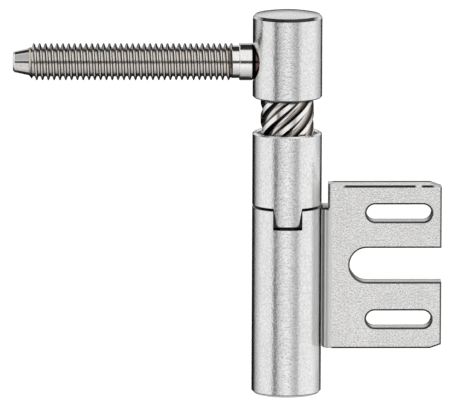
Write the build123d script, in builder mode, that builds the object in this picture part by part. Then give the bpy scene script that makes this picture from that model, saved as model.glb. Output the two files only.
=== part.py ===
from build123d import *
from math import sqrt
import os

# Drill-in door hinge with a rising thread, in millimetres.
# The frame part is a blind-bored knuckle with a bent plate welded to its flank. A sleeve keyed to
# the knuckle by two tongues holds a seven-start nut. The door part is a head with a drill-in
# shank, and a spindle that climbs in the nut as the door swings.
# Origin: centre of the knuckle's foot, on the hinge axis. +Z runs up the hinge axis, +X points to
# the frame plate, -X along the shank, and -Y to the side from which the plate is seen flat.

os.makedirs("parts", exist_ok=True)

# Knuckles, from the foot upwards
knuckle_diameter = 15.0
knuckle_height = 41.0
sleeve_height = 16.0
open_gap = 7.6
head_height = 17.9
head_dome = 0.85
head_edge_chamfer = 0.5
edge_break = 0.3
foot_edge_break = 0.6
seam_break = 0.3

# Rising thread of the spindle and its nut
thread_lead = 30.0
thread_starts = 7
thread_depth = 1.0
land_share = 0.38
root_share = 0.24
thread_phase = 26.6
thread_clearance = 0.06
thread_end_chamfer = 0.7
nut_thread_length = 10.5
nut_recess = 0.5
swing_each_way = 90.0

# Sleeve, nut skirt and the key between sleeve and knuckle
sleeve_wall = 1.0
nut_wall = 0.75
skirt_reach = 4.0
skirt_clearance = 0.06
skirt_floor_gap = 0.5
skirt_bore_clearance = 0.15
tongue_root_width = 6.0
tongue_tip_width = 4.6
tongue_length = 3.6
tongue_corner_radius = 0.8
slot_width = 6.3
slot_depth = 4.4

# Spindle pin below the thread, and the slit guide ring near its end
pin_diameter = 8.0
pin_reach = 28.0
pin_foot_height = 2.0
pin_foot_chamfer = 0.6
guide_groove_diameter = 6.2
guide_length = 5.0
guide_slit = 1.4
bore_diameter = 10.0
bore_end_gap = 1.5
running_clearance = 0.05
guide_end_play = 0.1

# Spigot that holds the spindle in the head
spigot_diameter = 6.0
spigot_length = 11.0
spigot_chamfer = 0.4
spigot_end_gap = 0.4

# Drill-in shank, from its tip to its tail in the head
shank_axis_rise = 7.7
shank_length = 51.6
shank_diameter = 8.0
tip_diameter = 4.35
tip_root_diameter = 5.9
tip_length = 3.5
tip_chamfer = 0.35
thread_lead_in = 0.8
neck_diameter = 7.1
neck_length = 1.45
collar_diameter = 8.05
collar_length = 2.7
collar_stand_off = 0.2
collar_edge = 0.15
tail_diameter = 6.4
tail_shoulder = 0.8
tail_web = 0.4
tail_chamfer = 0.3
mouth_diameter = 8.45
mouth_depth = 2.2

# Frame plate: one sheet with its left edge bent back into a welded leg
plate_thickness = 4.0
plate_front_offset = 5.0
plate_width = 25.9
leg_step = 1.45
plate_bottom = 10.4
plate_height = 36.0
leg_behind_axis = 2.6
seat_depth = 0.15
bend_outer_radius = 2.4
bend_inner_radius = 0.4
leg_corner_radius = 0.6
bevel_length = 2.4
bevel_height = 0.85
edge_rollover = 0.42
top_chamfer = 0.6
top_chamfer_inset = 4.5
top_chamfer_length = 15.6
end_chamfer_length = 4.7

# Openings of the plate
screw_slot_length = 14.0
screw_slot_width = 3.7
screw_slot_inset = 9.2
screw_slot_spacing = 23.2
notch_width = 7.4
notch_depth = 19.8
notch_above_middle = 0.25

# Two runs of weld between the leg and the knuckle, behind the plate
weld_length = 9.0
weld_inset = 3.2
weld_width = 1.3
weld_crown = 0.25

# Heights and radii that follow from the sizes above
knuckle_radius = knuckle_diameter / 2
sleeve_top = knuckle_height + sleeve_height
head_bottom = sleeve_top + open_gap
head_rim = head_bottom + head_height
shank_axis_z = head_bottom + shank_axis_rise
rise_each_way = thread_lead * swing_each_way / 360

nut_radius = knuckle_radius - sleeve_wall
nut_top = sleeve_top - nut_recess
nut_thread_bottom = nut_top - nut_thread_length
thread_radius = nut_radius - nut_wall
thread_root = thread_radius - thread_depth
skirt_bottom = knuckle_height - skirt_reach

pin_radius = pin_diameter / 2
pin_bottom = knuckle_height - pin_reach
bore_bottom = pin_bottom - rise_each_way - bore_end_gap
groove_bottom = pin_bottom + pin_foot_height
groove_top = groove_bottom + guide_length + 2 * guide_end_play
spigot_radius = spigot_diameter / 2

collar_end = -knuckle_radius - collar_stand_off
collar_start = collar_end - collar_length
neck_start = collar_start - neck_length
shank_tip = -knuckle_radius - shank_length
tail_end = -spigot_radius - tail_web

leg_face = knuckle_radius - seat_depth
plate_left_above_leg = leg_face + leg_step
plate_right = leg_face + plate_width
screw_slot_centre = plate_right - screw_slot_inset
notch_left = plate_right - notch_depth
plate_front = -plate_front_offset
plate_back = plate_front + plate_thickness
plate_top = plate_bottom + plate_height
plate_middle = plate_bottom + plate_height / 2
notch_centre = notch_left + notch_width / 2
notch_middle = plate_middle + notch_above_middle


def thread_form(bottom, top, clearance):
    """Right-handed thread between two heights, grown by the clearance: a straight-flanked rib for
    each start, twisted about the axis, on a round core and turned down to the crest. Its turn
    follows from the height, so the spindle and the hollow of the nut are in mesh."""
    pitch_angle = 360 / thread_starts
    crest = Vector(thread_radius, 0).rotate(Axis.Z, pitch_angle * land_share / 2)
    foot = Vector(thread_root, 0).rotate(Axis.Z, pitch_angle * (1 - root_share) / 2)
    flank = crest - foot
    sideways = Vector(-flank.Y, flank.X).normalized() * clearance
    inner = foot - flank / 2 + sideways
    outer = crest + flank / 2 + sideways
    with BuildSketch(mode=Mode.PRIVATE) as rib_outline:
        with BuildLine():
            Polyline(
                (inner.X, inner.Y),
                (outer.X, outer.Y),
                (outer.X, -outer.Y),
                (inner.X, -inner.Y),
                close=True,
            )
        make_face()
    turn = thread_phase + 360 * bottom / thread_lead
    rib = sweep(
        Pos(0, 0, bottom) * rib_outline.sketch.rotate(Axis.Z, turn),
        path=Line((0, 0, bottom), (0, 0, top)),
        binormal=Pos(0, 0, bottom) * Helix(thread_lead, top - bottom, thread_radius),
        mode=Mode.PRIVATE,
    )
    with BuildPart() as form:
        with PolarLocations(0, thread_starts):
            add(rib)
        with BuildSketch(Plane.XY.offset(bottom)):
            Circle(thread_radius + clearance)
        extrude(amount=top - bottom, mode=Mode.INTERSECT)
        with BuildSketch(Plane.XY.offset(bottom)):
            Circle(thread_root + clearance)
        extrude(amount=top - bottom)
    return form.part


# Frame knuckle: bored from the top, counterbored for the nut's skirt, slotted for the tongues,
# with a narrow flat on its flank where the plate's leg is welded
with BuildPart() as frame_knuckle:
    with BuildSketch():
        Circle(knuckle_radius)
    extrude(amount=knuckle_height)
    chamfer(frame_knuckle.edges().group_by(Axis.Z)[-1], seam_break)
    chamfer(frame_knuckle.edges().group_by(Axis.Z)[0], foot_edge_break)
    with BuildSketch(Plane.XY.offset(bore_bottom)):
        Circle(bore_diameter / 2)
    extrude(amount=knuckle_height - bore_bottom, mode=Mode.SUBTRACT)
    with BuildSketch(Plane.XY.offset(knuckle_height)):
        Circle(nut_radius)
    extrude(amount=-(skirt_reach + skirt_floor_gap), mode=Mode.SUBTRACT)
    with BuildSketch(Plane.XZ):
        with Locations((0, knuckle_height)):
            Rectangle(slot_width, 2 * slot_depth)
    extrude(amount=knuckle_diameter, both=True, mode=Mode.SUBTRACT)
    with BuildSketch(Plane.XY.offset(plate_bottom)):
        with Locations((leg_face, 0)):
            Rectangle(knuckle_radius, knuckle_diameter, align=(Align.MIN, Align.CENTER))
    extrude(amount=knuckle_height - plate_bottom, mode=Mode.SUBTRACT)
frame_knuckle.part.label = "frame_knuckle"
export_step(frame_knuckle.part, "parts/frame_knuckle.step")

# Frame plate: bent section, cut free of the leg above the knuckle, then pierced and trimmed
with BuildPart() as frame_plate:
    with BuildSketch(Plane.XY.offset(plate_bottom)) as bent_section:
        with BuildLine():
            Polyline(
                (leg_face, leg_behind_axis),
                (leg_face, plate_front),
                (plate_right, plate_front),
                (plate_right, plate_back),
                (leg_face + plate_thickness, plate_back),
                (leg_face + plate_thickness, leg_behind_axis),
                close=True,
            )
        make_face()
        for corner, radius in (
            ((leg_face, plate_front), bend_outer_radius),
            ((leg_face + plate_thickness, plate_back), bend_inner_radius),
        ):
            fillet(bent_section.vertices().sort_by_distance(corner)[0], radius)
    extrude(amount=plate_height)
    with BuildSketch(Plane.XY.offset(knuckle_height)):
        Rectangle(2 * plate_left_above_leg, 2 * knuckle_diameter)
        with Locations((leg_face, plate_back)):
            Rectangle(
                plate_thickness + bend_inner_radius,
                knuckle_diameter,
                align=(Align.MIN, Align.MIN),
            )
    extrude(amount=plate_height, mode=Mode.SUBTRACT)
    leg_top = frame_plate.edges().filter_by_position(Axis.Z, knuckle_height, knuckle_height)
    fillet(leg_top.sort_by(Axis.X)[0], leg_corner_radius)
    with BuildSketch(Plane.XZ):
        with Locations((screw_slot_centre, plate_middle)):
            with GridLocations(0, screw_slot_spacing, 1, 2):
                SlotOverall(screw_slot_length, screw_slot_width)
        with Locations((notch_centre, notch_middle)):
            Circle(notch_width / 2)
            Rectangle(plate_right, notch_width, align=(Align.MIN, Align.CENTER))
        for edge_height, inwards in ((plate_top, -bevel_height), (plate_bottom, bevel_height)):
            with BuildLine():
                Polyline(
                    (plate_right, edge_height),
                    (plate_right - bevel_length, edge_height),
                    (plate_right, edge_height + inwards),
                    close=True,
                )
            make_face()
    extrude(amount=knuckle_diameter, both=True, mode=Mode.SUBTRACT)
    front_edges = frame_plate.edges().filter_by_position(Axis.Y, plate_front, plate_front)
    below_top = front_edges.filter_by_position(Axis.Z, 0, plate_top - 2 * bevel_height)
    right_of_bend = leg_face + 2 * bend_outer_radius
    chamfer(below_top.filter_by_position(Axis.X, right_of_bend, 2 * plate_right), edge_rollover)
    for run_start, run_length in (
        (leg_face + top_chamfer_inset, top_chamfer_length),
        (plate_right - end_chamfer_length, end_chamfer_length),
    ):
        with BuildSketch(Plane.YZ.offset(run_start)):
            with BuildLine():
                Polyline(
                    (plate_front, plate_top),
                    (plate_front + top_chamfer, plate_top),
                    (plate_front, plate_top - top_chamfer),
                    close=True,
                )
            make_face()
        extrude(amount=run_length, mode=Mode.SUBTRACT)
frame_plate.part.label = "frame_plate"
export_step(frame_plate.part, "parts/frame_plate.step")

# Weld: two runs in the groove between the knuckle and the leg's back edge, each with a crown
bead_root_y = sqrt(knuckle_radius**2 - leg_face**2)
bead_end_y = leg_behind_axis + weld_width / 2
bead_end_x = sqrt(knuckle_radius**2 - bead_end_y**2)
with BuildPart() as weld_beads:
    for bead_bottom in (
        plate_bottom + weld_inset,
        knuckle_height - weld_inset - weld_length,
    ):
        with BuildSketch(Plane.XY.offset(bead_bottom)):
            with BuildLine():
                Polyline(
                    (bead_end_x, bead_end_y),
                    (leg_face, bead_root_y),
                    (leg_face, leg_behind_axis),
                )
                SagittaArc((leg_face, leg_behind_axis), (bead_end_x, bead_end_y), -weld_crown)
            make_face()
            Circle(knuckle_radius, mode=Mode.SUBTRACT)
        extrude(amount=weld_length)
weld_beads.part.label = "weld_beads"
export_step(weld_beads.part, "parts/weld_beads.step")

# Knuckle sleeve: a tube whose lower end keeps only its two opposite tongues
with BuildPart() as knuckle_sleeve:
    with BuildSketch(Plane.XY.offset(knuckle_height - tongue_length)):
        Circle(knuckle_radius)
        Circle(nut_radius, mode=Mode.SUBTRACT)
    extrude(amount=sleeve_height + tongue_length)
    with BuildSketch(Plane.XZ) as between_tongues:
        with Locations((0, knuckle_height)):
            Rectangle(2 * knuckle_diameter, 2 * tongue_length, align=(Align.CENTER, Align.MAX))
        with BuildSketch(mode=Mode.SUBTRACT) as tongue:
            with BuildLine():
                Polyline(
                    (-tongue_root_width / 2, knuckle_height),
                    (-tongue_tip_width / 2, knuckle_height - tongue_length),
                    (tongue_tip_width / 2, knuckle_height - tongue_length),
                    (tongue_root_width / 2, knuckle_height),
                    close=True,
                )
            make_face()
            fillet(tongue.vertices().group_by(Axis.Y)[0], tongue_corner_radius)
    extrude(amount=knuckle_diameter, both=True, mode=Mode.SUBTRACT)
    chamfer(knuckle_sleeve.edges().group_by(Axis.Z)[-1], edge_break)
    seam_edges = knuckle_sleeve.edges().filter_by_position(Axis.Z, knuckle_height, knuckle_height)
    chamfer(seam_edges.filter_by(GeomType.CIRCLE).group_by(SortBy.RADIUS)[-1], seam_break)
knuckle_sleeve.part.label = "knuckle_sleeve"
export_step(knuckle_sleeve.part, "parts/knuckle_sleeve.step")

# Thread nut: fills the sleeve, and its skirt centres the sleeve in the knuckle
nut_hollow = thread_form(nut_thread_bottom, nut_top, thread_clearance)
with BuildPart() as thread_nut:
    with BuildSketch(Plane.XY.offset(knuckle_height)):
        Circle(nut_radius)
    extrude(amount=nut_top - knuckle_height)
    with BuildSketch(Plane.XY.offset(skirt_bottom)):
        Circle(nut_radius - skirt_clearance)
    extrude(amount=skirt_reach)
    with BuildSketch(Plane.XY.offset(skirt_bottom)):
        Circle(thread_radius + skirt_bore_clearance)
    extrude(amount=nut_thread_bottom - skirt_bottom, mode=Mode.SUBTRACT)
    add(nut_hollow, mode=Mode.SUBTRACT)
thread_nut.part.label = "thread_nut"
export_step(thread_nut.part, "parts/thread_nut.step")

# Rising spindle: the seven-start thread, the plain pin with its guide groove, and the spigot
spindle_thread = thread_form(nut_thread_bottom, head_bottom, 0)
with BuildPart() as rising_spindle:
    add(spindle_thread)
    with BuildSketch(Plane.XZ):
        with BuildLine():
            Polyline(
                (0, nut_thread_bottom),
                (thread_radius - thread_end_chamfer, nut_thread_bottom),
                (thread_radius, nut_thread_bottom + thread_end_chamfer),
                (thread_radius + thread_end_chamfer, nut_thread_bottom + thread_end_chamfer),
                (thread_radius + thread_end_chamfer, nut_thread_bottom - thread_end_chamfer),
                (0, nut_thread_bottom - thread_end_chamfer),
                close=True,
            )
        make_face()
    revolve(axis=Axis.Z, mode=Mode.SUBTRACT)
    with BuildSketch(Plane.XZ):
        with BuildLine():
            Polyline(
                (0, pin_bottom),
                (pin_radius - pin_foot_chamfer, pin_bottom),
                (pin_radius, pin_bottom + pin_foot_chamfer),
                (pin_radius, groove_bottom),
                (guide_groove_diameter / 2, groove_bottom),
                (guide_groove_diameter / 2, groove_top),
                (pin_radius, groove_top),
                (pin_radius, nut_thread_bottom + thread_depth),
                (spigot_radius, nut_thread_bottom + thread_depth),
                (spigot_radius, head_bottom + spigot_length - spigot_chamfer),
                (spigot_radius - spigot_chamfer, head_bottom + spigot_length),
                (0, head_bottom + spigot_length),
                close=True,
            )
        make_face()
    revolve(axis=Axis.Z)
rising_spindle.part.label = "rising_spindle"
export_step(rising_spindle.part, "parts/rising_spindle.step")

# Pin guide: a slit ring snapped into the groove, sliding in the knuckle's bore
with BuildPart() as pin_guide:
    with BuildSketch(Plane.XY.offset(groove_bottom + guide_end_play)):
        Circle(bore_diameter / 2 - running_clearance)
        Circle(guide_groove_diameter / 2 + running_clearance, mode=Mode.SUBTRACT)
        Rectangle(
            guide_slit, bore_diameter, align=(Align.CENTER, Align.MIN), mode=Mode.SUBTRACT
        )
    extrude(amount=guide_length)
pin_guide.part.label = "pin_guide"
export_step(pin_guide.part, "parts/pin_guide.step")

# Hinge head: domed cylinder with a blind hole for the spigot and a stepped cross hole
with BuildPart() as hinge_head:
    with BuildSketch(Plane.XZ) as head_outline:
        with BuildLine():
            Polyline(
                (0, head_rim + head_dome),
                (0, head_bottom),
                (knuckle_radius - edge_break, head_bottom),
                (knuckle_radius, head_bottom + edge_break),
                (knuckle_radius, head_rim),
            )
            TangentArc(
                (0, head_rim + head_dome), (knuckle_radius, head_rim), tangent=(1, 0)
            )
        make_face()
        rim = (knuckle_radius, head_rim)
        chamfer(head_outline.vertices().sort_by_distance(rim)[0], head_edge_chamfer)
    revolve(axis=Axis.Z)
    with BuildSketch(Plane.XY.offset(head_bottom)):
        Circle(spigot_radius)
    extrude(amount=spigot_length + spigot_end_gap, mode=Mode.SUBTRACT)
    cross_hole = Plane((-knuckle_radius, 0, shank_axis_z), x_dir=(0, 1, 0), z_dir=(1, 0, 0))
    with BuildSketch(cross_hole):
        Circle(mouth_diameter / 2)
    extrude(amount=mouth_depth, mode=Mode.SUBTRACT)
    with BuildSketch(cross_hole):
        Circle(tail_diameter / 2)
    extrude(amount=knuckle_radius + tail_end, mode=Mode.SUBTRACT)
hinge_head.part.label = "hinge_head"
export_step(hinge_head.part, "parts/hinge_head.step")

# Drill-in shank: turned, with its tail pressed into the head
shank_radius = shank_diameter / 2
shank_plane = Plane((0, 0, shank_axis_z), x_dir=(1, 0, 0), z_dir=(0, -1, 0))
with BuildPart() as drill_in_shank:
    with BuildSketch(shank_plane) as shank_outline:
        with BuildLine():
            Polyline(
                (shank_tip, 0),
                (shank_tip, tip_diameter / 2),
                (shank_tip + tip_length, tip_root_diameter / 2),
                (shank_tip + tip_length + thread_lead_in, shank_radius),
                (neck_start, shank_radius),
                (neck_start, neck_diameter / 2),
                (collar_start, neck_diameter / 2),
                (collar_start, collar_diameter / 2 - collar_edge),
                (collar_start + collar_edge, collar_diameter / 2),
                (collar_end, collar_diameter / 2),
                (collar_end + tail_shoulder, tail_diameter / 2),
                (tail_end - tail_chamfer, tail_diameter / 2),
                (tail_end, tail_diameter / 2 - tail_chamfer),
                (tail_end, 0),
                close=True,
            )
        make_face()
        tip_corner = (shank_tip, tip_diameter / 2)
        chamfer(shank_outline.vertices().sort_by_distance(tip_corner)[0], tip_chamfer)
    revolve(axis=Axis((0, 0, shank_axis_z), (1, 0, 0)))
drill_in_shank.part.label = "drill_in_shank"
export_step(drill_in_shank.part, "parts/drill_in_shank.step")
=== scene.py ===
import math

import bpy
import numpy as np
from mathutils import Euler, Matrix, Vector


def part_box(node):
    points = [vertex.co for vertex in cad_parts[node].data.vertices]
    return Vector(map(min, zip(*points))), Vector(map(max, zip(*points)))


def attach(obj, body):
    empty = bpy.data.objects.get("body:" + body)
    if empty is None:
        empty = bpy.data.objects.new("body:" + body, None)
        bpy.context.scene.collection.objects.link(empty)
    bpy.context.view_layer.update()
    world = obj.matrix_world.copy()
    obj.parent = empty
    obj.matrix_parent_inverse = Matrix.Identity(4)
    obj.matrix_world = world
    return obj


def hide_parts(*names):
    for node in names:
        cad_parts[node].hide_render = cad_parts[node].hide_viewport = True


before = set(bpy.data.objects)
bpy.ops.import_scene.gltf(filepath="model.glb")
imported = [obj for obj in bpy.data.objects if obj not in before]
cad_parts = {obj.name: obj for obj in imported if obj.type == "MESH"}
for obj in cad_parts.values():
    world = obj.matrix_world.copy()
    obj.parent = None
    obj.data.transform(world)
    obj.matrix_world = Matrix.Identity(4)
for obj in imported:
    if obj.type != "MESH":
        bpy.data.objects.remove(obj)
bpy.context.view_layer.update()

MM = 0.001

# Places that the solids give, in metres
foot, seam = (corner.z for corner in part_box("frame_knuckle"))
head_low, head_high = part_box("hinge_head")
spindle_low, spindle_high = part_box("rising_spindle")
shank_low, shank_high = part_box("drill_in_shank")
plate_low, plate_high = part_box("frame_plate")
shank_axis_z = (shank_low.z + shank_high.z) / 2

# Drill-in shank, from its tip to its tail
thread_pitch = 1.25 * MM
thread_radius = 4.0 * MM
thread_depth = 0.85 * MM
crest_share = 0.2
root_share = 0.32
flank_rounding = 0.25
thread_start = shank_low.x + 3.3 * MM
thread_end = -11.86 * MM
thread_end_step = 0.05 * MM
neck_radius = 3.55 * MM
collar_start = -10.4 * MM
collar_end = -7.7 * MM
collar_radius = (shank_high.z - shank_low.z) / 2
collar_edge = 0.15 * MM
collar_foot_step = 0.02 * MM
tail_radius = 3.2 * MM
tail_start = -6.9 * MM
tail_chamfer = 0.3 * MM
tip_radius = 2.175 * MM
tip_root_radius = 2.95 * MM
tip_edge = 0.35 * MM
tip_length = 3.5 * MM
lead_in_length = 0.8 * MM
thread_steps_round = 96
thread_points_a_pitch = 12

# Rising spindle
rise_lead = 30 * MM
rise_starts = 7
rise_radius = (spindle_high.x - spindle_low.x) / 2
rise_depth = 1.04 * MM
rise_land_share = 0.28
rise_phase = math.radians(26.6)
rise_bottom = 46 * MM
rise_end_chamfer = 0.7 * MM
pin_radius = 4.0 * MM
pin_foot_chamfer = 0.6 * MM
groove_radius = 3.1 * MM
groove_bottom = 15.0 * MM
groove_top = 20.2 * MM
spigot_radius = 3.0 * MM
spigot_chamfer = 0.4 * MM
land_points = 7
hollow_points = 15
rise_points_a_mm = 3

# Places on the plate, the head and the sleeve that the painted light and shade go by
plate_front = plate_low.y
plate_back = plate_low.y + 4.0 * MM
plate_left = 8.8 * MM
plate_wall_limit = plate_left + 0.1 * MM
left_edge_depth = 0.3 * MM
bend_end = 9.75 * MM
leg_inner_wall = 7.5 * MM
leg_front_depth = 2.4 * MM
above_leg = seam + 0.1 * MM
lip_height = 0.62 * MM
lip_front_depth = 0.5 * MM
upper_face_skin = 0.03 * MM
mouth_radius = 4.245 * MM
tongue_half_width = 3.1 * MM
rim_radius = 6.98 * MM
rim_drop = 1.4 * MM

# Profiles of those shades: each stop is (millimetres past a place, share or colour)
seam_groove = ((-0.4, 0.0), (-0.25, 1.0), (0.25, 1.0), (0.4, 0.0))
knuckle_flank = ((4.7, 0.0), (6.0, 0.8), (6.85, 0.8), (7.05, 0.0))
knuckle_crevice = ((6.95, 0.0), (7.12, 1.0))
beside_plate_low = ((-6.0, 0.0), (-0.3, 1.0))
beside_plate_high = ((0.3, 1.0), (8.0, 0.0))
foot_bevel = ((0.35, 1.0), (0.6, 0.0))
rim_front = ((0.0, 1.0), (5.4, 1.0), (6.7, 0.1))
collar_in_hole = ((-0.1, 0.0), (0.15, 1.0))
thread_top = ((2.7, 0.0), (3.1, 1.0))
spindle_under_head = ((-0.9, 0.0), (-0.5, 1.0), (0.0, 1.0))
rolled_over = ((0.0, 0.0), (0.02, 0.0), (0.09, 1.0), (0.38, 1.0), (0.5, 0.0))
broken_away = ((-0.9, 0.0), (-0.5, 0.75), (-0.05, 0.75), (0.0, 0.0))
flat_of_plate = ((-0.3, 0.0), (0.3, 1.0))
bend_of_plate = ((-0.35, 1.0), (0.0, 0.0))
leg_width = ((0.0, 1.0), (0.3, 0.0))
leg_front_line = ((-0.45, 0.0), (-0.25, 1.0), (-0.05, 1.0), (0.0, 0.0))
leg_top_face = ((-0.12, 0.0), (-0.06, 1.0), (0.06, 1.0), (0.12, 0.0))
lip_depth = ((0.04, 0.0), (0.1, 1.0), (0.5, 1.0), (0.6, 0.0))
lip_line = ((-0.84, 0.0), (-0.76, 1.0), (-0.34, 1.0), (-0.28, 0.0))
lip_lengths = (
    (11.9, 0.0),
    (12.5, 1.0),
    (27.4, 1.0),
    (27.9, 0.0),
    (28.7, 0.0),
    (29.1, 1.0),
    (31.2, 1.0),
    (31.9, 0.0),
)
left_edge_line = ((0.2, 1.0), (0.45, 0.0))
# Painted highlights and shade across the bend to the leg, as colours along x
painted_bend_light_and_shade = (
    (7.3, (0.95, 0.95, 0.94)),
    (7.5, (0.95, 0.95, 0.94)),
    (7.6, (0.16, 0.155, 0.15)),
    (8.02, (0.2, 0.195, 0.19)),
    (8.1, (1.0, 1.0, 1.0)),
    (8.25, (1.0, 1.0, 1.0)),
    (8.35, (0.6, 0.6, 0.59)),
    (8.65, (0.6, 0.6, 0.59)),
    (8.85, (0.85, 0.85, 0.84)),
    (9.1, (0.97, 0.97, 0.96)),
    (9.4, (0.93, 0.93, 0.92)),
)

# Colours of the painted light (the whites and pale greys) and the painted shade (the blacks, dark
# greys and browns)
painted_light_white = (1.0, 1.0, 0.99)
painted_light_grey = (0.9, 0.9, 0.89)
painted_wall_light = (0.93, 0.925, 0.91)
painted_flank_light = (0.95, 0.945, 0.93)
painted_black_shade = (0.01, 0.01, 0.01)
painted_deep_shade = (0.015, 0.015, 0.015)
painted_shade_line = (0.02, 0.02, 0.02)
painted_edge_shade = (0.05, 0.05, 0.05)
painted_back_shade = (0.07, 0.07, 0.07)
painted_sheared_shade = (0.08, 0.078, 0.075)
painted_hole_shade = (0.09, 0.06, 0.055)
painted_collar_shade = (0.10, 0.065, 0.06)
# Share of painted light on the bevel round the head's top
rim_light_share = 0.7

# Zinc plating
cloud_size = 9 * MM
cloud_share = 0.15

# Camera, as found from the photograph
image_width = 454
pixels_per_metre = 4639
camera_distance = 3.0
camera_azimuth = math.radians(-1.6)
camera_elevation = math.radians(9.8)
camera_roll = math.radians(0.22)
camera_target = (-12.8 * MM, 0, 41.5 * MM)
image_offset_x, image_offset_y = 0.5, -1.35
sensor_width = 36

# Floor
floor_half_width = 8.0
floor_height = -0.12
floor_grey = 0.85
floor_glow = 0.55

# Studio light: each stop is (degrees, brightness or share). Round the object 0 is the viewer's
# side and 90 is the plate's. Upwards 0 is level.
wall_brightness = (
    (-180, 0.01),
    (-138, 0.01),
    (-124, 0.75),
    (-90, 0.95),
    (-50, 0.95),
    (-45, 0.2),
    (-36, 0.2),
    (-32, 0.7),
    (-6, 1.08),
    (4, 1.08),
    (30, 0.55),
    (36, 0.55),
    (42, 0.95),
    (90, 1.0),
    (116, 0.95),
    (136, 0.8),
    (147, 0.01),
    (180, 0.01),
)
soft_brightness = ((-150, 0.9), (-120, 1.05), (120, 1.05), (150, 0.9))
soft_share = ((-90, 1.0), (-45, 1.0), (-32, 0.0), (2, 0.0), (16, 1.0))
front_column = ((-90, 0.45), (-60, 0.7), (-20, 1.0), (82, 1.0), (88, 0.03), (90, 0.03))
back_column = (
    (-90, 0.3),
    (-80, 0.1),
    (-70, 0.02),
    (-50, 0.02),
    (4, 0.95),
    (34, 0.95),
    (42, 0.03),
    (90, 0.03),
)
back_share = ((-120, 1.0), (-100, 0.0), (100, 0.0), (120, 1.0))
slot_upwards = ((-6, 0.0), (-2, 1.0), (13, 1.0), (17, 0.0))
slot_around = ((-40, 0.0), (-30, 1.0), (30, 1.0), (40, 0.0))
slot_loss = 0.93
dim_upwards = ((16, 0.0), (22, 1.0), (80, 1.0), (86, 0.0))
dim_around = ((-100, 0.0), (-80, 1.0), (-14, 1.0), (-6, 0.0))
dim_loss = 0.5


def new_material(name):
    """A node material, its tree and its Principled shader."""
    material = bpy.data.materials.new(name)
    material.use_nodes = True
    tree = material.node_tree
    return material, tree, tree.nodes["Principled BSDF"]


def set_plain(shader, **values):
    """Constant values go on the shader's own sockets."""
    for name, value in values.items():
        shader.inputs[name.replace("_", " ")].default_value = value


def math_node(tree, operation, first, second=None, third=None, clamp=False):
    node = tree.nodes.new("ShaderNodeMath")
    node.operation = operation
    node.use_clamp = clamp
    for socket, value in zip(node.inputs, (first, second, third)):
        if value is None:
            continue
        if isinstance(value, (int, float)):
            socket.default_value = value
        else:
            tree.links.new(value, socket)
    return node.outputs[0]


def product(tree, first, *others):
    for other in others:
        first = math_node(tree, "MULTIPLY", first, other)
    return first


def distance_node(tree, first, second):
    """Length of the hypotenuse over two lengths."""
    squares = math_node(
        tree, "MULTIPLY_ADD", first, first, math_node(tree, "MULTIPLY", second, second)
    )
    return math_node(tree, "SQRT", squares)


def ramp_node(tree, factor, stops):
    """Grey or coloured ramp; each stop is (place, value)."""
    node = tree.nodes.new("ShaderNodeValToRGB")
    ramp = node.color_ramp
    while len(ramp.elements) < len(stops):
        ramp.elements.new(0.5)
    for element, (place, value) in zip(ramp.elements, stops):
        if isinstance(value, (int, float)):
            value = (value, value, value)
        element.position = place
        element.color = (*value, 1)
    tree.links.new(factor, node.inputs["Fac"])
    return node.outputs["Color"]


def past(start, profile):
    """A profile's stops in metres, from its millimetres past a place."""
    return [(start + place * MM, value) for place, value in profile]


def range_ramp(tree, value, stops):
    """Ramp over a length: each stop is (metres, value), in rising order."""
    low, high = stops[0][0], stops[-1][0]
    scale = 1 / (high - low)
    share = math_node(tree, "MULTIPLY_ADD", value, scale, -low * scale)
    return ramp_node(tree, share, [((place - low) * scale, tone) for place, tone in stops])


def object_place(tree, stretch=(1, 1, 1)):
    """Position in the object's own space, stretched along its axes."""
    coordinate = tree.nodes.new("ShaderNodeTexCoord")
    mapping = tree.nodes.new("ShaderNodeMapping")
    mapping.inputs["Scale"].default_value = stretch
    tree.links.new(coordinate.outputs["Object"], mapping.inputs["Vector"])
    return mapping.outputs["Vector"]


def place_parts(tree, output="Object"):
    """Position in the object's own space, or another coordinate, as three separate outputs."""
    coordinate = tree.nodes.new("ShaderNodeTexCoord")
    split = tree.nodes.new("ShaderNodeSeparateXYZ")
    tree.links.new(coordinate.outputs[output], split.inputs["Vector"])
    return split.outputs["X"], split.outputs["Y"], split.outputs["Z"]


def noise_node(tree, place, size, detail, roughness=0.5):
    """Noise whose lumps are about `size` metres across."""
    node = tree.nodes.new("ShaderNodeTexNoise")
    node.inputs["Scale"].default_value = 1 / size
    node.inputs["Detail"].default_value = detail
    node.inputs["Roughness"].default_value = roughness
    tree.links.new(place, node.inputs["Vector"])
    return node.outputs["Fac"]


def spread(tree, noise, low, high):
    """Noise spread over two values; nearly all of it lies between 0.3 and 0.7."""
    return ramp_node(tree, noise, ((0.3, low), (0.7, high)))


def bump_node(tree, shader, height, depth):
    """Relief of `depth` metres."""
    node = tree.nodes.new("ShaderNodeBump")
    node.inputs["Strength"].default_value = 1
    node.inputs["Distance"].default_value = depth
    tree.links.new(height, node.inputs["Height"])
    tree.links.new(node.outputs["Normal"], shader.inputs["Normal"])


def mix_colours(tree, factor, first, second, blend="MIX"):
    node = tree.nodes.new("ShaderNodeMix")
    node.data_type = "RGBA"
    node.blend_type = blend
    node.clamp_factor = True
    sockets = [s for s in node.inputs if s.enabled]
    for socket, value in zip(sockets, (factor, first, second)):
        if isinstance(value, tuple):
            socket.default_value = (*value, 1)
        elif isinstance(value, (int, float)):
            socket.default_value = value
        else:
            tree.links.new(value, socket)
    return next(s for s in node.outputs if s.enabled)


def shader_socket(material, name):
    return material.node_tree.nodes["Principled BSDF"].inputs[name]


def paint(material, mask, colour):
    """Turns the base colour to another where the mask is 1."""
    tree = material.node_tree
    socket = shader_socket(material, "Base Color")
    before = socket.links[0].from_socket
    tree.links.new(mix_colours(tree, mask, before, colour), socket)


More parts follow.
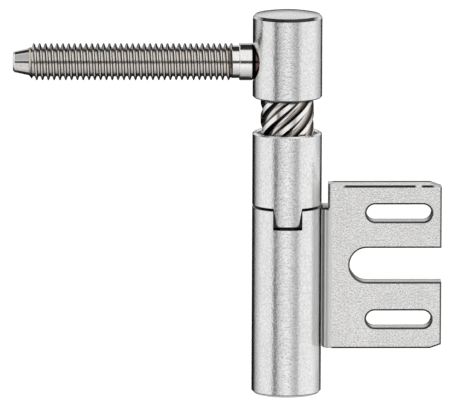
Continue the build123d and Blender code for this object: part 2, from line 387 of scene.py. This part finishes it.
def fade_out(material, name, mask):
    """Takes a shader value down to nothing where the mask is 1."""
    tree = material.node_tree
    socket = shader_socket(material, name)
    before = socket.links[0].from_socket if socket.is_linked else socket.default_value
    kept = math_node(tree, "SUBTRACT", 1.0, mask)
    tree.links.new(math_node(tree, "MULTIPLY", kept, before), socket)


def paint_matt(material, mask, colour):
    """Paints light and shade as the given colour on a matt, non-metal surface where the mask is 1.
    """
    paint(material, mask, colour)
    fade_out(material, "Metallic", mask)


def dull(material, mask):
    """Takes the gloss of a matt surface away where the mask is 1."""
    fade_out(material, "Specular IOR Level", mask)


def smooth(mesh):
    """Smooths the curved faces and keeps edges of over 30 degrees sharp."""
    mesh.shade_smooth()
    mesh.set_sharp_from_angle(angle=math.radians(30))


def assign(node, material):
    """Puts a material on a CAD node and smooths its curved faces."""
    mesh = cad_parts[node].data
    mesh.materials.clear()
    mesh.materials.append(material)
    smooth(mesh)


def make_piece(name, points, faces, material):
    mesh = bpy.data.meshes.new(name)
    mesh.from_pydata([tuple(p) for p in points], [], faces)
    mesh.materials.append(material)
    mesh.validate()
    smooth(mesh)
    piece = bpy.data.objects.new(name, mesh)
    bpy.context.scene.collection.objects.link(piece)
    return piece


def ring_grid(rings, columns, helical=(0, 0), skip=0):
    """Faces of a closed tube of rings, with both ends capped. Between the two helical rings each
    ring climbs one pitch in a turn, so it closes on the one that lies `skip` rings further on."""
    first, last = helical
    faces = []
    for ring in range(rings - 1):
        for column in range(columns):
            right = (column + 1) % columns
            a = ring * columns
            b = a + columns
            c, d = a + right, b + right
            if right == 0 and first <= ring < last:
                c = min(ring + skip, last) * columns
                d = min(ring + skip + 1, last) * columns
            face = (a + column, c, d, b + column)
            if c == d:
                face = (a + column, c, b + column)
            faces.append(face)
    faces.append(tuple(reversed(range(columns))))
    faces.append(tuple(range((rings - 1) * columns, rings * columns)))
    return faces


def plated_steel(name, bright, dark, grain, grain_depth, roughness):
    """Zinc plating: fine crystals as relief, with a slight change of tone and gloss."""
    material, tree, shader = new_material(name)
    set_plain(shader, Metallic=1.0)
    place = object_place(tree)
    fine = noise_node(tree, place, size=grain, detail=3, roughness=0.6)
    broad = noise_node(tree, place, size=6 * grain, detail=2)
    cloud = noise_node(tree, place, size=cloud_size, detail=2)
    cloud = math_node(tree, "MULTIPLY", cloud, cloud_share)
    tone = math_node(tree, "MULTIPLY_ADD", fine, 1 - cloud_share, cloud)
    bright_share = ramp_node(tree, tone, ((0.35, 0.0), (0.65, 1.0)))
    tree.links.new(mix_colours(tree, bright_share, dark, bright), shader.inputs["Base Color"])
    tree.links.new(spread(tree, broad, *roughness), shader.inputs["Roughness"])
    bump_node(tree, shader, fine, grain_depth)
    return material


def thread_steel():
    """Rolled thread: bright crests, and painted shade that darkens and warms the grooves the
    deeper they are.
    Near its top each tooth has painted light on a matt left flank and painted shade on its right
    one."""
    material, tree, shader = new_material("plated_thread")
    set_plain(shader, Metallic=1.0)
    x, y, z = place_parts(tree)
    height = math_node(tree, "SUBTRACT", z, shank_axis_z)
    depth = math_node(tree, "SUBTRACT", thread_radius, distance_node(tree, y, height))
    before_end = math_node(tree, "LESS_THAN", x, thread_end)
    rolled = product(tree, before_end, math_node(tree, "GREATER_THAN", x, thread_start))
    groove = math_node(tree, "DIVIDE", depth, thread_depth, clamp=True)
    # Painted shade: the grooves darker and warmer the deeper they are
    painted_groove_depth_shade = ramp_node(
        tree,
        product(tree, groove, rolled),
        (
            (0.0, (0.90, 0.89, 0.87)),
            (0.08, (0.90, 0.89, 0.87)),
            (0.2, (0.27, 0.24, 0.21)),
            (0.75, (0.25, 0.21, 0.18)),
            (0.9, (0.72, 0.67, 0.62)),
            (1.0, (0.76, 0.71, 0.66)),
        ),
    )
    fine = noise_node(tree, object_place(tree), size=0.3 * MM, detail=3)
    colour = mix_colours(tree, 1.0, painted_groove_depth_shade, spread(tree, fine, 0.78, 1.0), blend="MULTIPLY")
    tree.links.new(colour, shader.inputs["Base Color"])
    satin = spread(tree, fine, 0.18, 0.26)
    bright = spread(tree, fine, 0.09, 0.14)
    tree.links.new(mix_colours(tree, rolled, bright, satin), shader.inputs["Roughness"])
    bump_node(tree, shader, fine, depth=0.0015 * MM)

    turn = math_node(tree, "ARCTAN2", math_node(tree, "MULTIPLY", y, -1.0), height)
    along = math_node(tree, "MULTIPLY_ADD", x, 1 / thread_pitch, -thread_start / thread_pitch)
    phase = math_node(tree, "FRACT", math_node(tree, "MULTIPLY_ADD", turn, -0.5 / math.pi, along))
    left_flank = ramp_node(tree, phase, ((0.58, 0.0), (0.66, 1.0), (0.86, 1.0), (0.90, 0.0)))
    right_flank = ramp_node(
        tree, phase, ((0.0, 1.0), (0.30, 1.0), (0.36, 0.0), (0.90, 0.0), (0.94, 1.0))
    )
    tooth_tops = product(tree, rolled, range_ramp(tree, height, past(0, thread_top)))
    # Painted light on the left flanks and painted shade on the right flanks of the top teeth
    paint_matt(material, product(tree, left_flank, tooth_tops), painted_flank_light)
    paint(material, product(tree, right_flank, tooth_tops), painted_black_shade)
    # Painted shade on the shank where it goes into the head's hole
    paint(material, range_ramp(tree, x, past(collar_end, collar_in_hole)), painted_collar_shade)
    return material


def spindle_steel():
    """Bright oiled steel, with painted shade and light on its hollows: each is black under the
    land above it, pale in the middle and brown towards the land below."""
    material, tree, shader = new_material("bright_spindle")
    set_plain(shader, Metallic=1.0)
    x, y, z = place_parts(tree)
    twist = math_node(tree, "MULTIPLY_ADD", z, -2 * math.pi / rise_lead, -rise_phase)
    turn = math_node(tree, "ADD", math_node(tree, "ARCTAN2", y, x), twist)
    starts = math_node(tree, "MULTIPLY", turn, rise_starts / (2 * math.pi))
    half_land = rise_land_share / 2
    edge = 0.015
    # Painted light and shade across each land and hollow
    threaded = ramp_node(
        tree,
        math_node(tree, "FRACT", starts),
        (
            (half_land, (0.90, 0.89, 0.88)),
            (half_land + edge, (0.03, 0.028, 0.026)),
            (0.34, (0.04, 0.035, 0.03)),
            (0.40, (0.86, 0.85, 0.84)),
            (0.52, (0.74, 0.71, 0.68)),
            (0.68, (0.34, 0.29, 0.25)),
            (0.78, (0.05, 0.04, 0.035)),
            (1 - half_land - edge, (0.05, 0.04, 0.035)),
            (1 - half_land, (0.90, 0.89, 0.88)),
        ),
    )
    on_thread = math_node(tree, "GREATER_THAN", z, rise_bottom)
    colour = mix_colours(tree, on_thread, (0.72, 0.70, 0.68), threaded)
    tree.links.new(colour, shader.inputs["Base Color"])
    fine = noise_node(tree, object_place(tree, (1, 1, 0.4)), size=0.25 * MM, detail=3)
    tree.links.new(spread(tree, fine, 0.14, 0.24), shader.inputs["Roughness"])
    bump_node(tree, shader, fine, depth=0.003 * MM)
    # Painted shade: a black line on the spindle under the head
    paint(material, range_ramp(tree, z, past(head_low.z, spindle_under_head)), painted_shade_line)
    return material


def weld_metal():
    """Plated weld with the ripples of its pool."""
    material, tree, shader = new_material("weld_metal")
    set_plain(shader, Metallic=1.0)
    ripple = noise_node(tree, object_place(tree, (0.3, 0.3, 1)), size=0.5 * MM, detail=1)
    grain = noise_node(tree, object_place(tree), size=0.2 * MM, detail=3)
    colour = mix_colours(tree, grain, (0.30, 0.28, 0.26), (0.58, 0.57, 0.55))
    tree.links.new(colour, shader.inputs["Base Color"])
    tree.links.new(spread(tree, grain, 0.35, 0.55), shader.inputs["Roughness"])
    bump_node(tree, shader, ripple, depth=0.12 * MM)
    return material


def polymer(name, pale, dark, roughness):
    """Moulded plastic with a faint orange-peel skin."""
    material, tree, shader = new_material(name)
    fine = noise_node(tree, object_place(tree), size=0.3 * MM, detail=2)
    tree.links.new(mix_colours(tree, fine, dark, pale), shader.inputs["Base Color"])
    gloss = spread(tree, fine, roughness, roughness + 0.12)
    tree.links.new(gloss, shader.inputs["Roughness"])
    bump_node(tree, shader, fine, depth=0.004 * MM)
    return material


def flank_shade(material):
    """Beside the plate the knuckle's flank gets painted light as matt white, and painted shade as
    a black crevice along its edge.
    """
    tree = material.node_tree
    x, y, z = place_parts(tree)
    heights = past(plate_low.z, beside_plate_low) + past(plate_high.z, beside_plate_high)
    in_front = math_node(tree, "LESS_THAN", y, 0.0)
    beside_plate = product(tree, range_ramp(tree, z, heights), in_front)
    flank = range_ramp(tree, x, past(0, knuckle_flank))
    # Painted light on the flank, and painted shade in the crevice beside the plate
    paint_matt(material, product(tree, flank, beside_plate), painted_light_white)
    crevice = range_ramp(tree, x, past(0, knuckle_crevice))
    paint(material, product(tree, crevice, beside_plate), painted_black_shade)


def seam_shade(material):
    """Painted shade darkens the groove between knuckle and sleeve to either side of the tongue."""
    tree = material.node_tree
    x, _, z = place_parts(tree)
    groove = range_ramp(tree, z, past(seam, seam_groove))
    beside = math_node(tree, "GREATER_THAN", math_node(tree, "ABSOLUTE", x), tongue_half_width)
    # Painted shade in the seam's groove
    paint(material, product(tree, groove, beside), painted_deep_shade)


def foot_shade(material):
    """Painted light makes the bevel round the knuckle's foot a matt pale grey."""
    tree = material.node_tree
    _, _, z = place_parts(tree)
    # Painted light on the foot's bevel
    paint_matt(material, range_ramp(tree, z, past(foot, foot_bevel)), painted_light_grey)


def cross_hole_shade(material):
    """Painted shade darkens the mouth of the head's cross hole inside."""
    tree = material.node_tree
    x, y, z = place_parts(tree)
    off_axis = distance_node(tree, y, math_node(tree, "SUBTRACT", z, shank_axis_z))
    mouth = math_node(tree, "LESS_THAN", off_axis, mouth_radius)
    on_left = math_node(tree, "LESS_THAN", x, 0.0)
    # Painted shade in the mouth of the cross hole
    paint(material, product(tree, mouth, on_left), painted_hole_shade)


def rim_shade(material):
    """Painted light makes the bevel round the head's top matt and pale, and painted shade darkens
    it at the front.
    """
    tree = material.node_tree
    x, y, z = place_parts(tree)
    outside = math_node(tree, "GREATER_THAN", distance_node(tree, x, y), rim_radius)
    high = math_node(tree, "GREATER_THAN", z, head_high.z - rim_drop)
    bevel = product(tree, outside, high)
    # Painted light on the rim's bevel, and painted shade at its front
    paint_matt(material, product(tree, bevel, rim_light_share), painted_light_grey)
    near_middle = range_ramp(tree, math_node(tree, "ABSOLUTE", x), past(0, rim_front))
    in_front = math_node(tree, "LESS_THAN", y, 0.0)
    paint(material, product(tree, bevel, near_middle, in_front), painted_deep_shade)


def sheared_edge_shade(material):
    """A stamped sheet's edge through its thickness: painted shade where it is rolled over at the
    front, bright where it was cut, and painted shade again where it broke away at the back."""
    tree = material.node_tree
    x, y, _ = place_parts(tree)
    thickness = past(plate_front, rolled_over) + past(plate_back, broken_away)
    flat = range_ramp(tree, x, past(bend_end, flat_of_plate))
    # Painted shade along the sheet's edges
    paint(material, product(tree, range_ramp(tree, y, thickness), flat), painted_sheared_shade)


def leg_shade(material):
    """The bend to the leg gets painted light and shade as matt stripes, and the plate's wall over
    it painted light.
    """
    tree = material.node_tree
    x, y, z = place_parts(tree)
    wall = math_node(tree, "LESS_THAN", x, plate_wall_limit)
    over_leg = math_node(tree, "GREATER_THAN", z, above_leg)
    # Painted light on the wall over the leg
    paint_matt(material, product(tree, wall, over_leg), painted_wall_light)
    bend = range_ramp(tree, x, past(bend_end, bend_of_plate))
    below_seam = math_node(tree, "LESS_THAN", z, above_leg)
    near_front = math_node(tree, "LESS_THAN", y, plate_front + leg_front_depth)
    inner_wall = math_node(tree, "LESS_THAN", x, leg_inner_wall)
    shown = math_node(tree, "MAXIMUM", near_front, inner_wall)
    bend_light_and_shade = range_ramp(tree, x, past(0, painted_bend_light_and_shade))
    # Painted light and shade on the bend to the leg
    paint_matt(material, product(tree, bend, below_seam, shown), bend_light_and_shade)


def leg_top_shade(material):
    """Painted shade makes the front edge of the leg's top black; its matt top face is painted
    shade at the front and painted light behind.
    """
    tree = material.node_tree
    x, y, z = place_parts(tree)
    on_leg = range_ramp(tree, x, past(plate_left, leg_width))
    front_line = range_ramp(tree, z, past(seam, leg_front_line))
    # Painted shade along the front edge of the leg's top
    paint(material, product(tree, front_line, on_leg), painted_shade_line)
    top_face = product(tree, range_ramp(tree, z, past(seam, leg_top_face)), on_leg)
    # Painted shade at the front of the leg's top face and painted light behind it
    depth = ((0.0, painted_black_shade), (1.5, painted_black_shade), (2.0, (1.0, 1.0, 1.0)))
    paint_matt(material, top_face, range_ramp(tree, y, past(plate_front, depth)))
    dull(material, top_face)


def lip_shade(material):
    """The lip along the plate's top gets painted light as matt white, with a painted shade line
    under it, and the upper face gets painted light with painted shade along its back."""
    tree = material.node_tree
    x, y, z = place_parts(tree)
    flat = range_ramp(tree, x, past(bend_end, flat_of_plate))
    off_front = range_ramp(tree, y, past(plate_front, lip_depth))
    near_top = math_node(tree, "GREATER_THAN", z, plate_high.z - lip_height)
    # Painted light on the lip's bevel
    paint_matt(material, product(tree, off_front, near_top, flat), painted_light_white)
    line = range_ramp(tree, z, past(plate_high.z, lip_line))
    along = range_ramp(tree, x, past(0, lip_lengths))
    at_front = math_node(tree, "LESS_THAN", y, plate_front + lip_front_depth)
    # Painted shade line under the lip
    paint(material, product(tree, line, along, at_front), painted_shade_line)
    on_top = math_node(tree, "GREATER_THAN", z, plate_high.z - upper_face_skin)
    upper_face = product(tree, on_top, flat)
    # Painted light on the upper face, with painted shade along its back
    across = past(plate_front, ((0.0, painted_light_white),))
    across += past(plate_back, ((-1.7, painted_light_white), (-1.3, painted_back_shade), (0.0, painted_back_shade)))
    paint_matt(material, upper_face, range_ramp(tree, y, across))
    dull(material, upper_face)


def left_edge_shade(material):
    """Painted shade darkens the plate's left edge at the front, above the leg."""
    tree = material.node_tree
    x, y, z = place_parts(tree)
    over_leg = math_node(tree, "GREATER_THAN", z, above_leg)
    in_front = math_node(tree, "LESS_THAN", y, plate_front + left_edge_depth)
    edge = range_ramp(tree, x, past(plate_left, left_edge_line))
    # Painted shade on the front of the left edge
    paint(material, product(tree, over_leg, edge, in_front), painted_edge_shade)


def thread_height(turns):
    """Share of the thread's depth at a place along one pitch, 1 on the crest and 0 in the root."""
    off_crest = np.abs((turns + 0.5) % 1.0 - 0.5)
    flank = (1 - crest_share - root_share) / 2
    share = 1 - (off_crest - crest_share / 2) / flank
    share = np.clip(share, 0, 1)
    rounded = share * share * (3 - 2 * share)
    return rounded * flank_rounding + share * (1 - flank_rounding)


def build_shank():
    """The drill-in shank with its real thread, as rings along X."""
    round_step = np.arange(thread_steps_round) / thread_steps_round
    angle = round_step * 2 * math.pi
    rings = []

    def lathe(x, radius):
        rings.append((np.full(thread_steps_round, x), np.full(thread_steps_round, radius)))

    tip = shank_low.x
    slope = (tip_root_radius - tip_radius) / tip_length
    lead_in_slope = (thread_radius - tip_root_radius) / lead_in_length
    lathe(tip, tip_radius - tip_edge)
    lathe(tip + tip_edge / 2, tip_radius - tip_edge / 4)
    lathe(tip + tip_edge, tip_radius + slope * tip_edge)
    step = thread_pitch / thread_points_a_pitch
    count = int(round((thread_end - thread_start) / step)) + thread_points_a_pitch + 1
    first = len(rings)
    for index in range(count):
        x = thread_start - thread_pitch + index * step + round_step * thread_pitch
        x = np.clip(x, thread_start, thread_end)
        turns = (x - thread_start) / thread_pitch - round_step
        past_cone = x - tip - tip_length
        cone = tip_root_radius + np.where(past_cone < 0, slope, lead_in_slope) * past_cone
        root = thread_radius - thread_depth
        run_out = np.clip((x - (thread_end - thread_pitch)) / thread_pitch, 0, 1)
        root = root + (neck_radius - root) * run_out
        radius = root + (thread_radius - root) * thread_height(turns)
        rings.append((x, np.minimum(radius, cone)))
    last = len(rings) - 1
    lathe(thread_end + thread_end_step, neck_radius)
    lathe(collar_start - collar_foot_step, neck_radius)
    lathe(collar_start, neck_radius + collar_foot_step)
    lathe(collar_start, collar_radius - collar_edge)
    lathe(collar_start + collar_edge, collar_radius)
    lathe(collar_end, collar_radius)
    lathe(tail_start, tail_radius)
    lathe(shank_high.x - tail_chamfer, tail_radius)
    lathe(shank_high.x, tail_radius - tail_chamfer)
    points = []
    for x, radius in rings:
        y = -radius * np.sin(angle)
        z = shank_axis_z + radius * np.cos(angle)
        points.extend(zip(x, y, z))
    faces = ring_grid(len(rings), thread_steps_round, (first, last), thread_points_a_pitch)
    faces = [tuple(reversed(face)) for face in faces]
    return make_piece("drill_in_thread", points, faces, thread_steel())


def rise_section():
    """The spindle's thread in section: each point is (angle, radius). Lands lie on the crest
    circle, and the hollows between them are arcs."""
    pitch = 2 * math.pi / rise_starts
    half_land = pitch * rise_land_share / 2
    half_hollow = pitch / 2 - half_land
    root = rise_radius - rise_depth
    chord = rise_radius * math.cos(half_hollow)
    centre = (rise_radius**2 - root**2) / (2 * (chord - root))
    hollow_radius = centre - root
    section = []
    for start in range(rise_starts):
        middle = start * pitch
        for place in np.linspace(-half_land, half_land, land_points):
            section.append((middle + place, rise_radius))
        for place in np.linspace(-half_hollow, half_hollow, hollow_points + 2)[1:-1]:
            half_chord = math.sqrt(hollow_radius**2 - (centre * math.sin(place)) ** 2)
            section.append((middle + pitch / 2 + place, centre * math.cos(place) - half_chord))
    return np.array(section).T


def build_spindle():
    """The rising spindle with round hollows between its lands, as rings along Z."""
    angle, outline = rise_section()
    columns = len(angle)
    rings = []

    def lathe(z, radius):
        rings.append((z, np.full(columns, radius)))

    lathe(spindle_low.z, pin_radius - pin_foot_chamfer)
    lathe(spindle_low.z + pin_foot_chamfer, pin_radius)
    lathe(groove_bottom, pin_radius)
    lathe(groove_bottom, groove_radius)
    lathe(groove_top, groove_radius)
    lathe(groove_top, pin_radius)
    lathe(rise_bottom, pin_radius)
    top = head_low.z
    for z in np.linspace(rise_bottom, top, int((top - rise_bottom) / MM * rise_points_a_mm) + 1):
        limit = rise_radius - rise_end_chamfer + (z - rise_bottom)
        rings.append((z, np.minimum(outline, limit)))
    lathe(top, spigot_radius)
    lathe(spindle_high.z - spigot_chamfer, spigot_radius)
    lathe(spindle_high.z, spigot_radius - spigot_chamfer)
    points = []
    for z, radius in rings:
        threaded = min(max(z, rise_bottom), top)
        turned = angle + rise_phase + 2 * math.pi * threaded / rise_lead
        points.extend(zip(radius * np.cos(turned), radius * np.sin(turned), np.full(columns, z)))
    faces = ring_grid(len(rings), columns)
    return make_piece("rising_thread", points, faces, spindle_steel())


def build_floor():
    """Plain pale floor that glows for the camera, so that it reads white where it is lit."""
    half, z = floor_half_width, floor_height
    corners = [(-half, -half, z), (half, -half, z), (half, half, z), (-half, half, z)]
    mesh = bpy.data.meshes.new("floor")
    mesh.from_pydata(corners, [], [(0, 1, 2, 3)])
    floor = bpy.data.objects.new("floor", mesh)
    bpy.context.scene.collection.objects.link(floor)
    material, tree, shader = new_material("pale_floor")
    set_plain(
        shader,
        Base_Color=(floor_grey, floor_grey, floor_grey, 1),
        Roughness=0.9,
        Emission_Color=(1, 1, 1, 1),
    )
    path = tree.nodes.new("ShaderNodeLightPath")
    glow = math_node(tree, "MULTIPLY", path.outputs["Is Camera Ray"], floor_glow)
    tree.links.new(glow, shader.inputs["Emission Strength"])
    mesh.materials.append(material)
    floor.visible_glossy = False


def build_world():
    """Soft studio light by direction: bright panels with dark gaps between them, which the
    metal mirrors, and plain white where the camera looks past the object."""
    world = bpy.data.worlds.new("studio")
    world.use_nodes = True
    bpy.context.scene.world = world
    tree = world.node_tree
    x, y, z = place_parts(tree, "Generated")
    azimuth = math_node(tree, "ARCTAN2", x, math_node(tree, "MULTIPLY", y, -1))
    round_share = math_node(tree, "MULTIPLY_ADD", azimuth, 0.5 / math.pi, 0.5)
    elevation = math_node(tree, "ARCSINE", z)
    height_share = math_node(tree, "MULTIPLY_ADD", elevation, 1 / math.pi, 0.5)

    def around(stops):
        return ramp_node(tree, round_share, [((deg + 180) / 360, value) for deg, value in stops])

    def upwards(stops):
        return ramp_node(tree, height_share, [((deg + 90) / 180, value) for deg, value in stops])

    ring = mix_colours(tree, upwards(soft_share), around(wall_brightness), around(soft_brightness))
    column = mix_colours(tree, around(back_share), upwards(front_column), upwards(back_column))
    slot = product(tree, upwards(slot_upwards), around(slot_around))
    dim = product(tree, upwards(dim_upwards), around(dim_around))
    slot_left = math_node(tree, "MULTIPLY_ADD", slot, -slot_loss, 1.0)
    dim_left = math_node(tree, "MULTIPLY_ADD", dim, -dim_loss, 1.0)
    light = product(tree, ring, column, product(tree, slot_left, dim_left))
    path = tree.nodes.new("ShaderNodeLightPath")
    shown = mix_colours(tree, path.outputs["Is Camera Ray"], light, (1.0, 1.0, 1.0))
    tree.links.new(shown, tree.nodes["Background"].inputs["Color"])


def place_camera():
    data = bpy.data.cameras.new("camera")
    camera = bpy.data.objects.new("camera", data)
    bpy.context.scene.collection.objects.link(camera)
    data.sensor_width = sensor_width
    data.lens = pixels_per_metre * camera_distance / image_width * sensor_width
    data.shift_x = -image_offset_x / image_width
    data.shift_y = image_offset_y / image_width
    data.clip_end = 100
    away = (
        math.sin(camera_azimuth) * math.cos(camera_elevation),
        -math.cos(camera_azimuth) * math.cos(camera_elevation),
        math.sin(camera_elevation),
    )
    camera.location = [t + camera_distance * a for t, a in zip(camera_target, away)]
    level = Euler((math.pi / 2 - camera_elevation, 0, camera_azimuth)).to_matrix()
    camera.rotation_euler = (level @ Matrix.Rotation(camera_roll, 3, "Z")).to_euler()
    bpy.context.scene.camera = camera


# CAD nodes that keep their shape
knuckle_look = {
    "bright": (0.91, 0.915, 0.91),
    "dark": (0.68, 0.685, 0.68),
    "grain": 0.45 * MM,
    "grain_depth": 0.04 * MM,
    "roughness": (0.12, 0.18),
}
knuckle_steel = plated_steel("plated_knuckle", **knuckle_look)
for shade in (flank_shade, seam_shade, foot_shade):
    shade(knuckle_steel)
for node in ("frame_knuckle", "knuckle_sleeve"):
    assign(node, knuckle_steel)

head_steel = plated_steel("plated_head", **knuckle_look)
for shade in (cross_hole_shade, rim_shade):
    shade(head_steel)
assign("hinge_head", head_steel)

plate_steel = plated_steel(
    "plated_plate",
    bright=(0.98, 0.975, 0.96),
    dark=(0.71, 0.705, 0.695),
    grain=0.42 * MM,
    grain_depth=0.04 * MM,
    roughness=(0.24, 0.28),
)
for shade in (sheared_edge_shade, leg_shade, leg_top_shade, lip_shade, left_edge_shade):
    shade(plate_steel)
assign("frame_plate", plate_steel)

assign("weld_beads", weld_metal())
assign(
    "thread_nut",
    polymer("dark_polymer", pale=(0.045, 0.043, 0.04), dark=(0.02, 0.02, 0.02), roughness=0.35),
)
assign(
    "pin_guide",
    polymer("pale_polymer", pale=(0.75, 0.74, 0.70), dark=(0.66, 0.65, 0.61), roughness=0.4),
)

# Pieces that take the place of a CAD node
shank = build_shank()
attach(shank, "door_part")
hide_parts("drill_in_shank")
spindle = build_spindle()
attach(spindle, "door_part")
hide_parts("rising_spindle")

# Floor, light and camera
build_floor()
build_world()
place_camera()
bpy.context.scene.view_settings.view_transform = "Standard"
